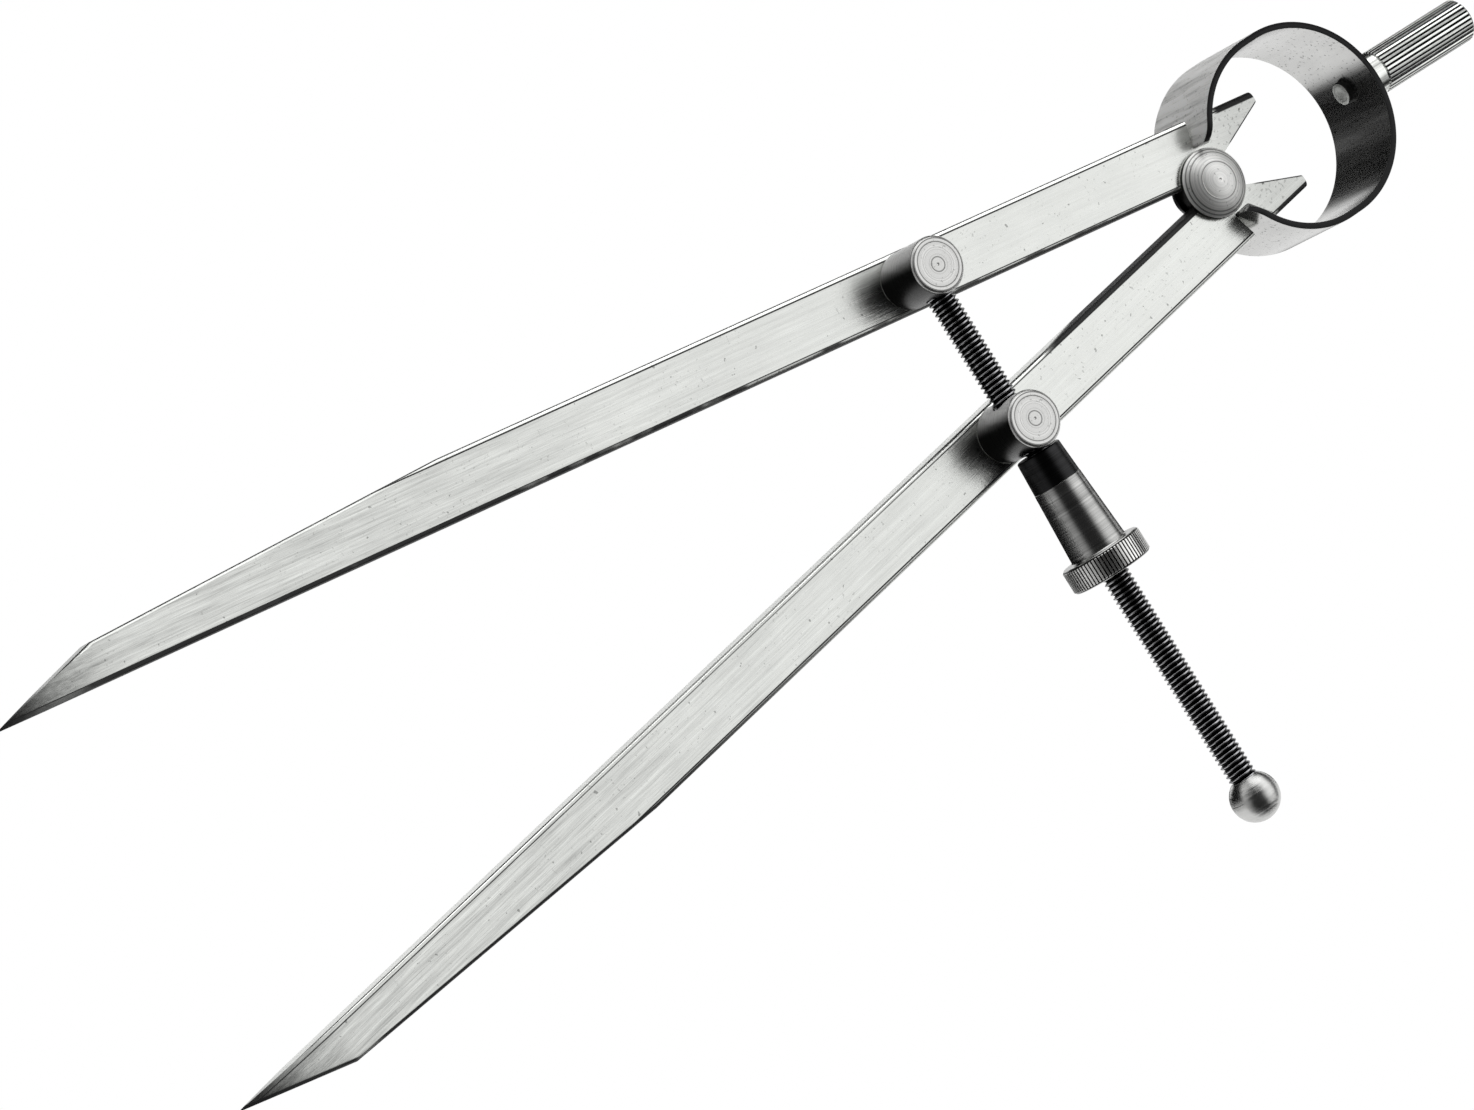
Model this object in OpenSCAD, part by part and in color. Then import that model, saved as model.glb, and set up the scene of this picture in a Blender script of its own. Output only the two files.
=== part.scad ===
// Bow-spring dividers. Two pointed steel legs are pinched against a fulcrum stud by a
// flat bow spring, and a screw with a long knurled nut sets how far they open.
// The origin is on the fulcrum's axis, at the flat back of the fulcrum. +Z points to
// the front, +Y to the handle, and the adjusting screw runs out along +X.

/* [Legs] */
// Length of a leg, from the fulcrum's axis to its point
leg_len = 150; // [120:1:250]
// Width of a leg
leg_w = 6.5; // [6.2:0.1:8]
// Thickness of a leg
leg_t = 3.2; // [2.6:0.1:4]
// Distance from the fulcrum's axis to the inner edge of a leg
inner_off = 0.7; // [0.5:0.1:0.9]
// Rounding of a leg's long edges
edge_r = 0.5; // [0.2:0.1:0.7]
// Angle of each leg from the middle line, as the dividers lie
rest_angle = 7.9; // [6:0.1:10]
// Length over which a leg narrows, its point included
taper_len = 54; // [30:1:70]
// Length of the bevel that makes the point
bevel_len = 12; // [8:0.5:16]
// Width of a leg where the bevel starts
bevel_w = 4.2; // [3.5:0.1:5]
// Length over which the point is ground thinner
grind_len = 9; // [5:0.5:12]
// Width and thickness left at the very point
point_size = 0.14; // [0.1:0.02:0.3]

/* [Tails and notches] */
// Length of a leg's tail above the fulcrum, on its inner side
tail_len = 9.6; // [8.5:0.1:10]
// Angle between a tail's inner edge and its leg
tail_angle = 28.6; // [25:0.1:30]
// Angle of a tail's blunt end to the square of the leg
tail_end_angle = 7.9; // [0:0.1:12]
// Distance from a leg's pivot line to the floor of its notch
notch_floor = 4.05; // [3.9:0.05:4.3]
// Width of the notch at its floor
notch_floor_w = 2.2; // [1.8:0.1:2.6]
// Width of the notch at the leg's outer edge
notch_mouth_w = 3.8; // [3.4:0.1:4.2]
// Height of the notch's lower lip above the fulcrum, at the outer edge
notch_lip = 0.45; // [0.3:0.05:0.6]

/* [Bow spring] */
// Outer radius of the bow's two half rounds
bow_r = 10.9; // [10.4:0.1:12]
// Length of the straights between the half rounds
bow_flat = 1.36; // [0.8:0.02:2]
// Thickness of the strip
bow_t = 0.7; // [0.5:0.05:0.8]
// Width of the strip, from the front rim to the back rim
bow_w = 11.4; // [9:0.1:14]
// Height of the front rim above the front of the legs
bow_rise = 3.4; // [2.5:0.1:4.5]
// Rounding of the strip's end corners
bow_corner_r = 1; // [0.5:0.1:1.5]

/* [Handle] */
// Diameter of the handle
handle_d = 4.9; // [4:0.1:6]
// Length of the handle, from the bow to its end
handle_len = 16.7; // [12:0.1:30]
// Length of the plain foot below the knurling
handle_foot = 3.5; // [3:0.1:6]
// Lean of the handle towards the screw's free end
handle_tilt = 1.5; // [0:0.5:3]
// Number of flutes in the handle's knurling
handle_flutes = 32; // [24:1:40]
// Diameter of the spigot that is upset inside the bow
spigot_d = 2.6; // [2:0.1:3]
// How far the spigot stands out inside the bow
spigot_out = 0.8; // [0.5:0.1:1.6]

/* [Fulcrum] */
// Diameter of the stud's barrel, between the legs
stud_d = 4.2; // [3.8:0.1:4.6]
// Diameter of the stud's head
head_d = 7.6; // [7:0.1:9]
// Height of the head's straight rim
head_rim = 0.6; // [0.4:0.1:1]
// Height of the dome above the rim
head_dome = 1.4; // [0.8:0.1:1.8]
// Diameter of the fulcrum's back washer
stud_washer_d = 5.4; // [5:0.1:6.5]

/* [Posts] */
// Distance of the posts from the fulcrum, along the legs
post_along = 38.5; // [35:0.5:45]
// Diameter of a post
post_d = 6.2; // [5.6:0.1:6.6]
// Height of a post above its leg
post_h = 6.8; // [6:0.1:8]
// Chamfer round a post's face
post_chamfer = 0.15; // [0.1:0.05:0.4]
// Diameter of the shank that turns in the leg
shank_d = 3.2; // [2.8:0.1:3.6]
// Diameter of a post's back washer
post_washer_d = 4.8; // [4.4:0.1:5.6]
// Thickness of the back washers
washer_t = 0.5; // [0.4:0.05:0.8]
// Diameter of the riveted ends that hold the back washers
rivet_d = 2.2; // [1.8:0.1:2.4]

/* [Screw] */
// Diameter of the thread
thread_d = 3; // [2.6:0.1:3.2]
// Pitch of the thread
thread_pitch = 0.54; // [0.45:0.01:0.6]
// Depth of the thread
thread_depth = 0.3; // [0.2:0.02:0.34]
// Height of the screw's axis above the front of the legs
screw_h = 3.7; // [3.6:0.1:4.2]
// Distance from the left post's axis to the centre of the ball end
screw_len = 63.2; // [58:0.1:80]
// How far the screw goes into the left post, past the post's axis
screw_in = 2.2; // [1.5:0.1:2.4]
// Diameter of the ball end
ball_d = 5.3; // [4.6:0.1:6]
// Diameter of the screw's spigot in the ball
ball_spigot_d = 2; // [1.6:0.1:2.2]

/* [Nut] */
// Diameter of the nut at its small end
nut_small_d = 4.95; // [4.8:0.05:5.4]
// Diameter of the nut where it meets the flange
nut_large_d = 6.3; // [5.8:0.1:6.8]
// Length of the dark bush that shows at the small end
bush_len = 3.7; // [3:0.1:5]
// Diameter of the bush's spigot in the sleeve
bush_spigot_d = 4.2; // [4:0.1:4.4]
// Length of the bush's spigot
bush_spigot_len = 2.5; // [2:0.1:4]
// Length of the tapered sleeve, between the bush and the flange
sleeve_len = 8.05; // [6:0.05:12]
// Diameter of the knurled flange
flange_d = 9; // [8:0.1:10]
// Thickness of the knurled flange
flange_t = 2.7; // [2:0.1:4]
// Number of flutes round the flange
flange_flutes = 72; // [56:1:84]

/* [Knurling and fits] */
// Depth of the knurling's flutes
flute_depth = 0.15; // [0.1:0.01:0.2]
// Share of the knurled surface that is left as crests
flute_land = 0.4; // [0.3:0.05:0.6]
// Chamfer at the ends of knurled and turned pieces
turned_chamfer = 0.25; // [0.15:0.05:0.4]
// Radial clearance of what turns
run_gap = 0.05; // [0.03:0.01:0.08]
// End play of the legs and posts on their pins
play = 0.05; // [0.03:0.01:0.1]
// Radial clearance of what is pressed or riveted together
fit_gap = 0.02; // [0.01:0.01:0.03]
// Gap between the nut and the post that it bears on
seat_gap = 0.1; // [0.05:0.05:0.2]
// Gap between the bow's ends and the notch floors
bow_gap = 0.06; // [0.03:0.01:0.1]
// Clearance round the screw where it passes through the right post
pass_gap = 0.1; // [0.08:0.01:0.15]

/* [Hidden] */
$fn = 96;
over = 1;

// Heights, from the flat backs of the washers
leg_back_z = washer_t + play;
leg_front_z = leg_back_z + leg_t;
screw_z = leg_front_z + screw_h;
bow_front_z = leg_front_z + bow_rise;
bow_mid_z = bow_front_z - bow_w / 2;

// A leg lies in its own frame: x runs along it to the point, y across it, outwards
outer_edge = inner_off + leg_w;
tail_inner = inner_off + tail_len * tan(tail_angle);
tail_outer_x = -tail_len + (outer_edge - tail_inner) * tan(tail_end_angle);
bevel_x = leg_len - bevel_len;
taper_x = leg_len - taper_len;
bevel_y = inner_off + bevel_w;
post_across = inner_off + leg_w / 2;

// A point of the right leg's frame, as it lies in the model
function placed(p) = [
    p.x * sin(rest_angle) + p.y * cos(rest_angle),
    p.y * sin(rest_angle) - p.x * cos(rest_angle)
];

post_at = placed([post_along, post_across]);

// The bow's ends bear on the notch floors, level with the fulcrum in the leg's frame
bow_end = placed([0, notch_floor + bow_gap]);
bow_low_y = bow_end.y + sqrt(pow(bow_r, 2) - pow(bow_end.x, 2));
bow_high_y = bow_low_y + bow_flat;
bow_top_y = bow_high_y + bow_r;
// The notch's lower lip keeps clear of the strip's outer face
notch_corner_x = 2 * bow_gap;

// Places along the screw, from the middle line
screw_start_x = -post_at.x - screw_in;
ball_x = screw_len - post_at.x;
ball_seat_x = ball_x - sqrt(pow(ball_d / 2, 2) - pow(thread_d / 2, 2));
nut_x = post_at.x + post_d / 2 + seat_gap;
sleeve_x = nut_x + bush_len;
flange_x = sleeve_x + sleeve_len;
nut_end_x = flange_x + flange_t;
taper_rate = (nut_large_d - nut_small_d) / 2 / (bush_len + sleeve_len);
nut_bore_r = thread_d / 2 + run_gap;

module on_left() {
    mirror([1, 0, 0]) children();
}

// Puts a shape drawn in the leg's frame where the right leg lies
module on_right_leg() {
    rotate([0, 0, rest_angle - 90]) children();
}

// Puts a shape drawn round +Z on the screw's axis, at x, pointing to the ball
module on_screw(x) {
    translate([x, post_at.y, screw_z]) rotate([0, 90, 0]) children();
}

// What is cut off a corner at the origin to round it. The body lies at +x and -y
module corner_waste(r) {
    difference() {
        translate([-over, -r]) square([r + over, r + over]);
        translate([r, -r]) circle(r);
    }
}

// Rounds both long edges of a face that runs from p to q. The leg lies on its left
module face_rounding(p, q) {
    run = norm(q - p);
    for (front = [0, 1])
        translate([p.x, p.y, front * leg_t])
            rotate([0, 0, atan2(q.y - p.y, q.x - p.x)])
                mirror([0, 0, 1 - front])
                    rotate([90, 0, 90])
                        linear_extrude(run) corner_waste(edge_r);
}

module leg_plan() {
    polygon([
        [tail_outer_x, outer_edge],
        [taper_x, outer_edge],
        [bevel_x, bevel_y],
        [leg_len, inner_off + point_size],
        [leg_len, inner_off],
        [0, inner_off],
        [-tail_len, tail_inner]
    ]);
}

module notch_plan() {
    polygon([
        [notch_corner_x, notch_floor],
        [-notch_lip, outer_edge],
        [-notch_lip, outer_edge + over],
        [-notch_lip - notch_mouth_w, outer_edge + over],
        [-notch_lip - notch_mouth_w, outer_edge],
        [notch_corner_x - notch_floor_w, notch_floor]
    ]);
}

// The wedges ground off the front and the back of the point, seen along the leg
module grind_waste() {
    middle = leg_t / 2;
    for (side = [-1, 1])
        translate([0, 0, middle])
            rotate([90, 0, 0])
                linear_extrude(outer_edge + 2 * over, center = true)
                    polygon([
                        [leg_len - grind_len, side * middle],
                        [leg_len, side * point_size / 2],
                        [leg_len + over, side * point_size / 2],
                        [leg_len + over, side * (middle + over)],
                        [leg_len - grind_len, side * (middle + over)]
                    ]);
}

module leg() {
    translate([0, 0, leg_back_z])
        difference() {
            linear_extrude(leg_t) leg_plan();
            face_rounding([0, inner_off], [leg_len + over, inner_off]);
            face_rounding([taper_x, outer_edge], [tail_outer_x - over, outer_edge]);
            face_rounding([bevel_x, bevel_y], [taper_x, outer_edge]);
            face_rounding([leg_len, inner_off + point_size], [bevel_x, bevel_y]);
            grind_waste();
            translate([0, 0, -over]) {
                linear_extrude(leg_t + 2 * over) notch_plan();
                cylinder(r = stud_d / 2 + run_gap, h = leg_t + 2 * over);
                translate([post_along, post_across])
                    cylinder(r = shank_d / 2 + run_gap, h = leg_t + 2 * over);
            }
        }
}

module leg_right() {
    color("silver") on_right_leg() leg();
}

module leg_left() {
    color("silver") on_left() on_right_leg() leg();
}

module oval(r) {
    for (y = [bow_low_y, bow_high_y])
        translate([0, y]) circle(r);
    translate([-r, bow_low_y]) square([2 * r, bow_flat]);
}

// Rounds the corners of the right end of the strip, where it meets the two rims
module bow_end_rounding() {
    for (front = [0, 1])
        translate([bow_end.x, bow_low_y, bow_mid_z])
            mirror([0, 0, 1 - front])
                translate([0, 0, bow_w / 2])
                    rotate([90, 0, 0])
                        linear_extrude(bow_r + over) corner_waste(bow_corner_r);
}

module bow_spring() {
    color("dimgray")
        difference() {
            translate([0, 0, bow_front_z - bow_w])
                linear_extrude(bow_w)
                    difference() {
                        oval(bow_r);
                        oval(bow_r - bow_t);
                        translate([-bow_end.x, bow_low_y - bow_r - over])
                            square([2 * bow_end.x, bow_r + over]);
                    }
            bow_end_rounding();
            on_left() bow_end_rounding();
            on_handle() cylinder(d = spigot_d + 2 * fit_gap, h = 4 * bow_t, center = true);
        }
}

// Puts a shape drawn round +Z on the handle's axis, starting at the top of the bow
module on_handle() {
    translate([0, bow_top_y, bow_mid_z])
        rotate([0, 0, -handle_tilt])
            rotate([-90, 0, 0]) children();
}

// What is cut away from a bar of diameter d to leave straight flutes round it
module flute_waste(d, h, flutes) {
    half_mouth = (0.5 - flute_land / 2) * 360 / flutes;
    root = [d / 2 - flute_depth, 0];
    mouth = d / 2 * [cos(half_mouth), sin(half_mouth)];
    // The flanks run on past the bar, so no corner lies on its surface
    outside = root + 1.5 * (mouth - root);
    linear_extrude(h)
        for (i = [0 : flutes - 1])
            rotate(i * 360 / flutes)
                polygon([root, [outside.x, -outside.y], outside]);
}

// A round bar with its edges chamfered
module turned_bar(d, h) {
    c = turned_chamfer;
    rotate_extrude()
        polygon([[0, 0], [d / 2 - c, 0], [d / 2, c], [d / 2, h - c], [d / 2 - c, h], [0, h]]);
}

module handle_stem() {
    color("silver")
        on_handle() {
            translate([0, 0, -bow_t - spigot_out])
                cylinder(d = spigot_d, h = bow_t + spigot_out + over);
            turned_bar(handle_d, handle_foot);
            translate([0, 0, handle_foot])
                difference() {
                    turned_bar(handle_d, handle_len - handle_foot);
                    translate([0, 0, -over])
                        flute_waste(
                            handle_d, handle_len - handle_foot + 2 * over, handle_flutes
                        );
                }
        }
}

// A pin's shank through a leg, with the thinner end that is riveted over its washer
module riveted_shank(d) {
    cylinder(d = rivet_d, h = washer_t);
    translate([0, 0, washer_t])
        cylinder(d = d, h = leg_front_z + play - washer_t);
}

module back_washer(d) {
    difference() {
        cylinder(d = d, h = washer_t);
        translate([0, 0, -over]) cylinder(d = rivet_d + 2 * fit_gap, h = washer_t + 2 * over);
    }
}

module fulcrum_stud() {
    head_z = leg_front_z + play;
    dome_r = (pow(head_d / 2, 2) + pow(head_dome, 2)) / (2 * head_dome);
    color("silver") {
        riveted_shank(stud_d);
        translate([0, 0, head_z]) cylinder(d = head_d, h = head_rim);
        intersection() {
            translate([0, 0, head_z + head_rim]) cylinder(d = head_d, h = head_dome + over);
            translate([0, 0, head_z + head_rim + head_dome - dome_r]) sphere(dome_r);
        }
    }
}

module fulcrum_washer() {
    color("dimgray") back_washer(stud_washer_d);
}

module post_body() {
    base_z = leg_front_z + play;
    translate([post_at.x, post_at.y]) {
        riveted_shank(shank_d);
        translate([0, 0, base_z])
            rotate_extrude()
                polygon([
                    [0, 0],
                    [post_d / 2, 0],
                    [post_d / 2, post_h - play - post_chamfer],
                    [post_d / 2 - post_chamfer, post_h - play],
                    [0, post_h - play]
                ]);
    }
}

module post_washer() {
    translate([post_at.x, post_at.y]) back_washer(post_washer_d);
}

module post_right() {
    color("silver")
        difference() {
            post_body();
            on_screw(post_at.x)
                cylinder(d = thread_d + 2 * pass_gap, h = 2 * post_d, center = true);
        }
}

module post_left() {
    color("silver")
        difference() {
            on_left() post_body();
            on_screw(screw_start_x)
                cylinder(d = thread_d + 2 * fit_gap, h = 2 * post_d);
        }
}

module post_right_washer() {
    color("dimgray") post_washer();
}

module post_left_washer() {
    color("dimgray") on_left() post_washer();
}

// The thread's ridges stand as rings, one for each pitch
module threaded_bar(h) {
    ridges = floor(h / thread_pitch);
    crest = thread_pitch / 8;
    root = thread_d / 2 - thread_depth;
    rotate_extrude()
        polygon(concat(
            [[0, 0]],
            [
                for (i = [0 : ridges - 1], c = [0 : 3])
                    [
                        c < 2 ? thread_d / 2 : root,
                        i * thread_pitch + [0, crest, thread_pitch / 2, thread_pitch / 2 + crest][c]
                    ]
            ],
            [[thread_d / 2, ridges * thread_pitch], [thread_d / 2, h], [0, h]]
        ));
}

module adjusting_screw() {
    color("dimgray") {
        on_screw(screw_start_x) threaded_bar(ball_seat_x - screw_start_x);
        on_screw(ball_seat_x) cylinder(d = ball_spigot_d, h = ball_x - ball_seat_x);
    }
}

module screw_ball() {
    color("silver")
        difference() {
            on_screw(ball_x) sphere(d = ball_d);
            on_screw(ball_seat_x)
                translate([0, 0, -ball_d]) cylinder(d = 2 * ball_d, h = ball_d);
            on_screw(ball_seat_x)
                cylinder(d = ball_spigot_d + 2 * fit_gap, h = ball_x - ball_seat_x + fit_gap);
        }
}

module nut_bush() {
    color("dimgray")
        difference() {
            on_screw(nut_x) {
                cylinder(
                    r1 = nut_small_d / 2,
                    r2 = nut_small_d / 2 + taper_rate * bush_len,
                    h = bush_len
                );
                cylinder(d = bush_spigot_d, h = bush_len + bush_spigot_len);
            }
            on_screw(nut_x - over)
                cylinder(r = nut_bore_r, h = bush_len + bush_spigot_len + 2 * over);
        }
}

module nut_sleeve() {
    color("silver")
        difference() {
            union() {
                on_screw(sleeve_x)
                    cylinder(
                        r1 = nut_small_d / 2 + taper_rate * bush_len,
                        r2 = nut_large_d / 2,
                        h = sleeve_len
                    );
                on_screw(flange_x)
                    difference() {
                        turned_bar(flange_d, flange_t);
                        translate([0, 0, -over])
                            flute_waste(flange_d, flange_t + 2 * over, flange_flutes);
                    }
            }
            on_screw(sleeve_x - over)
                cylinder(r = nut_bore_r, h = nut_end_x - sleeve_x + 2 * over);
            on_screw(sleeve_x - over)
                cylinder(d = bush_spigot_d + 2 * fit_gap, h = bush_spigot_len + fit_gap + over);
        }
}

leg_left();
leg_right();
bow_spring();
handle_stem();
fulcrum_stud();
fulcrum_washer();
post_left();
post_left_washer();
post_right();
post_right_washer();
adjusting_screw();
screw_ball();
nut_bush();
nut_sleeve();
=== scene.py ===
"""Bow-spring dividers: the pieces that show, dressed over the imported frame.

Each piece is modelled where it lies, in metres, in the frame of the CAD nodes. Sizes
that a user would change are in the property groups. Run as a script, it models all.
"""

from math import asin, atan2, ceil, cos, pi, radians, sin, sqrt, tan

import bmesh
import bpy
from bpy.props import FloatProperty, FloatVectorProperty, IntProperty
from mathutils import Euler, Matrix, Vector


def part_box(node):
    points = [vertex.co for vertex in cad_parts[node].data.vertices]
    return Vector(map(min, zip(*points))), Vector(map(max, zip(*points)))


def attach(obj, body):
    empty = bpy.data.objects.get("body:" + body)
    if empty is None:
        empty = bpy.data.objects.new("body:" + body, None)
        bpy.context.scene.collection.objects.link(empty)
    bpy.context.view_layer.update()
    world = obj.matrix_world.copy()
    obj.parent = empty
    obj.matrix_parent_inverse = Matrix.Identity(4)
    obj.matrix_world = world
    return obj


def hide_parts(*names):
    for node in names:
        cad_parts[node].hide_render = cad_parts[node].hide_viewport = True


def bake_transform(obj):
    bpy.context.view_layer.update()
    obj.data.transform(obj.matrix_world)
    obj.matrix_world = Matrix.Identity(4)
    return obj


bl_info = {
    "name": "Bow-Spring Dividers",
    "version": (1, 0, 0),
    "blender": (4, 5, 0),
    "location": "3D View > Sidebar > Dividers",
    "description": "Models spring dividers over their packed frame",
    "category": "Object",
}

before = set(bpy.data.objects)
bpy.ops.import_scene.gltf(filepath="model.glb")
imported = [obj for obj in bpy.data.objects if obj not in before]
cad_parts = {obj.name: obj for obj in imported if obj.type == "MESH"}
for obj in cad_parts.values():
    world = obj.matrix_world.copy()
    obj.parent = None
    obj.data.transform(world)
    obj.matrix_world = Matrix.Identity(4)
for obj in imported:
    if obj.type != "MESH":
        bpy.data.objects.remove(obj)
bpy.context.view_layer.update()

MM = 0.001
TINY = 1e-6
CLEARANCE = 0.05 * MM
FLOOR_Z = -250 * MM
# Corners over this many degrees stay sharp on pieces cut from flat stock, or fluted
FLAT_SHARP = 40
FLUTED_SHARP = 24


def middle(node):
    """The middle of a CAD node's box."""
    low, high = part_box(node)
    return (low + high) / 2


POST_AT = middle("post_right_washer")
SCREW_Z = middle("adjusting_screw").z
SCREW_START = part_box("adjusting_screw")[0].x
NUT_LOW, NUT_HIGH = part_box("nut_sleeve")
BUSH_LOW, BUSH_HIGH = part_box("nut_bush")
BALL_LOW, BALL_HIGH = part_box("screw_ball")
LEG_LOW, LEG_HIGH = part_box("leg_right")
BOW_LOW, BOW_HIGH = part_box("bow_spring")
HEAD_LOW, HEAD_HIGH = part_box("fulcrum_stud")
FACE_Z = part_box("post_right")[1].z
BOW_MIDDLE = middle("bow_spring").y


def length(name, millimetres, about):
    """A size in metres, given in millimetres."""
    return FloatProperty(
        name=name,
        description=about,
        default=millimetres * MM,
        min=0,
        unit="LENGTH",
        precision=5,
    )


def angle(name, degrees, about):
    return FloatProperty(
        name=name, description=about, default=radians(degrees), subtype="ANGLE"
    )


def colour(name, shade, about):
    return FloatVectorProperty(
        name=name, description=about, default=shade, subtype="COLOR", min=0, max=1
    )


class LegSizes(bpy.types.PropertyGroup):
    reach: length("Length", 150, "From the fulcrum's axis to the point")
    width: length("Width", 6.5, "Width of a leg")
    inner: length("Inner edge", 0.7, "From the fulcrum's axis to the inner edge")
    rounding: length("Rounding", 0.5, "Rounding of the long edges")
    turn: angle("Angle", 7.9, "Angle of each leg from the middle line")
    taper: length("Taper", 54, "Length over which a leg narrows, point included")
    bevel: length("Bevel", 12, "Length of the bevel that makes the point")
    bevel_width: length("Bevel width", 4.2, "Width of a leg where the bevel starts")
    grind: length("Grind", 9, "Length over which the point is ground thinner")
    point: length("Point", 0.14, "Width and thickness left at the very point")
    tail: length("Tail", 9.6, "Length of the tail above the fulcrum")
    tail_turn: angle("Tail angle", 28.6, "Between a tail's inner edge and its leg")
    tail_end_turn: angle("Tail end angle", 7.9, "Of a tail's end to the leg's square")
    notch_floor: length("Notch floor", 4.05, "From the pivot line to the floor")
    notch_floor_width: length("Notch floor width", 2.2, "Width of the notch's floor")
    notch_mouth: length("Notch mouth", 3.8, "Width of the notch at the outer edge")
    notch_lip: length("Notch lip", 0.45, "Height of the lower lip above the fulcrum")
    notch_corner: length("Notch corner", 0.12, "How far the floor reaches below it")


class BowSizes(bpy.types.PropertyGroup):
    radius: length("Radius", 10.9, "Outer radius of the bow's two half rounds")
    flat: length("Flat", 1.36, "Length of the straights between the half rounds")
    thickness: length("Thickness", 0.7, "Thickness of the strip")
    corner: length("Corner", 1.9, "Rounding of the strip's end corners")
    rim: length("Rim", 0.08, "Rounding of the strip's rims")
    opening: length("Opening", 4.071, "From the middle line to the strip's end")


class HandleSizes(bpy.types.PropertyGroup):
    diameter: length("Diameter", 4.9, "Diameter of the handle")
    reach: length("Length", 16.7, "From the bow to the handle's end")
    foot: length("Foot", 3.5, "Length of the plain foot")
    lean: angle("Lean", 1.5, "Lean of the handle towards the ball end")
    flutes: IntProperty(name="Flutes", description="Flutes on the handle", default=32)
    spigot: length("Spigot", 2.6, "Diameter of the spigot inside the bow")
    spigot_out: length("Spigot length", 0.8, "How far the spigot stands out")


class PinSizes(bpy.types.PropertyGroup):
    barrel: length("Fulcrum barrel", 4.2, "Diameter of the fulcrum between the legs")
    rim: length("Head rim", 0.6, "Height of the head's straight rim")
    dome: length("Head dome", 1.4, "Height of the dome above the rim")
    post: length("Post", 6.2, "Diameter of a post")
    chamfer: length("Post chamfer", 0.3, "Chamfer round a post's face")
    shank: length("Shank", 3.2, "Diameter of a post's shank in its leg")
    rivet: length("Rivet", 2.2, "Diameter of the riveted ends")
    washer: length("Washer", 0.5, "Thickness of the back washers")
    hole: length("Screw hole", 3.2, "Diameter of the screw's hole in the right post")


class ScrewSizes(bpy.types.PropertyGroup):
    diameter: length("Thread", 3.0, "Diameter of the thread")
    pitch: length("Pitch", 0.54, "Pitch of the thread")
    depth: length("Depth", 0.3, "Depth of the thread")
    bore: length("Bore", 3.1, "Diameter of the nut's bore")
    small: length("Small end", 4.95, "Diameter of the nut at its small end")
    large: length("Large end", 6.3, "Diameter of the nut at the flange")
    sleeve: length("Sleeve", 8.05, "Length of the tapered sleeve")
    flange: length("Flange", 9.0, "Diameter of the knurled flange")
    flutes: IntProperty(name="Flutes", description="Flutes on the flange", default=72)


class KnurlSizes(bpy.types.PropertyGroup):
    depth: length("Depth", 0.15, "Depth of the knurling's flutes")
    land: FloatProperty(
        name="Land",
        description="Share of the round left as crests",
        default=0.5,
        min=0,
        max=1,
        subtype="FACTOR",
    )
    chamfer: length("Chamfer", 0.25, "Chamfer at the ends of knurled pieces")


class SteelColours(bpy.types.PropertyGroup):
    ground: colour("Ground steel", (0.60, 0.61, 0.59), "Faces of the legs")
    turned: colour("Turned steel", (0.58, 0.58, 0.57), "Posts, nut and ball")
    strip: colour("Strip", (0.60, 0.60, 0.59), "Spring strip")
    black: colour("Black steel", (0.16, 0.16, 0.165), "Screw, bush and washers")
    # Scale is black: the strip's rims, and the painted shade on the legs' edges and in
    # the handle's flutes
    scale: colour("Scale", (0.018, 0.018, 0.019), "Black edges and grooves")
    floor: colour("Floor", (0.8, 0.8, 0.8), "Floor under the dividers")


GROUPS = {
    "divider_legs": LegSizes,
    "divider_bow": BowSizes,
    "divider_handle": HandleSizes,
    "divider_pins": PinSizes,
    "divider_screw": ScrewSizes,
    "divider_knurl": KnurlSizes,
    "divider_steel": SteelColours,
}


# Modelling


def select_nothing():
    bpy.ops.object.select_all(action="DESELECT")


def alone(piece):
    """Makes a piece the only one that is selected."""
    select_nothing()
    bpy.context.view_layer.objects.active = piece
    piece.select_set(True)


def editing(piece):
    alone(piece)
    bpy.ops.object.mode_set(mode="EDIT")


def done():
    bpy.ops.object.mode_set(mode="OBJECT")


def select_mesh():
    """Selects all of the piece that is being edited."""
    bpy.ops.mesh.select_all(action="SELECT")


def pick_edges(piece, test):
    """Selects the edges whose faces and two ends pass a test, in edit mode."""
    bpy.ops.mesh.select_mode(type="EDGE")
    bpy.ops.mesh.select_all(action="DESELECT")
    shape = bmesh.from_edit_mesh(piece.data)
    for edge in shape.edges:
        if test(edge, *(v.co for v in edge.verts)):
            edge.select_set(True)
    shape.select_flush_mode()
    bmesh.update_edit_mesh(piece.data)


def named(name):
    """Names the active piece and its mesh."""
    piece = bpy.context.active_object
    piece.name = piece.data.name = name
    return piece


def apply_place():
    """Moves the active piece's place into its mesh, so its object is at the origin."""
    bpy.ops.object.transform_apply(location=True, rotation=True, scale=True)


def placed(piece, place):
    """Moves a finished piece to its place, and leaves its object at the origin."""
    alone(piece)
    piece.matrix_world = place
    apply_place()
    return piece


def point(name, at):
    """A piece that is one vertex, in edit mode, from which its outline is drawn."""
    select_nothing()
    bpy.ops.mesh.primitive_plane_add(size=MM, location=at)
    apply_place()
    piece = named(name)
    editing(piece)
    bpy.ops.mesh.merge(type="CENTER")
    return piece


def draw(points):
    """Extrudes the selected vertex along a row of points, the first of which it is."""
    for here, there in zip(points, points[1:]):
        step = tuple(b - a for a, b in zip(here, there))
        bpy.ops.mesh.extrude_vertices_move(TRANSFORM_OT_translate={"value": step})


def extrude_up(height):
    bpy.ops.mesh.extrude_region_move(TRANSFORM_OT_translate={"value": (0, 0, height)})


def cut_off(at, outward):
    """Cuts away what lies past a plane and closes the cut, in edit mode."""
    select_mesh()
    bpy.ops.mesh.bisect(
        plane_co=at,
        plane_no=outward,
        use_fill=True,
        clear_outer=True,
        threshold=TINY,
    )


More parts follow.
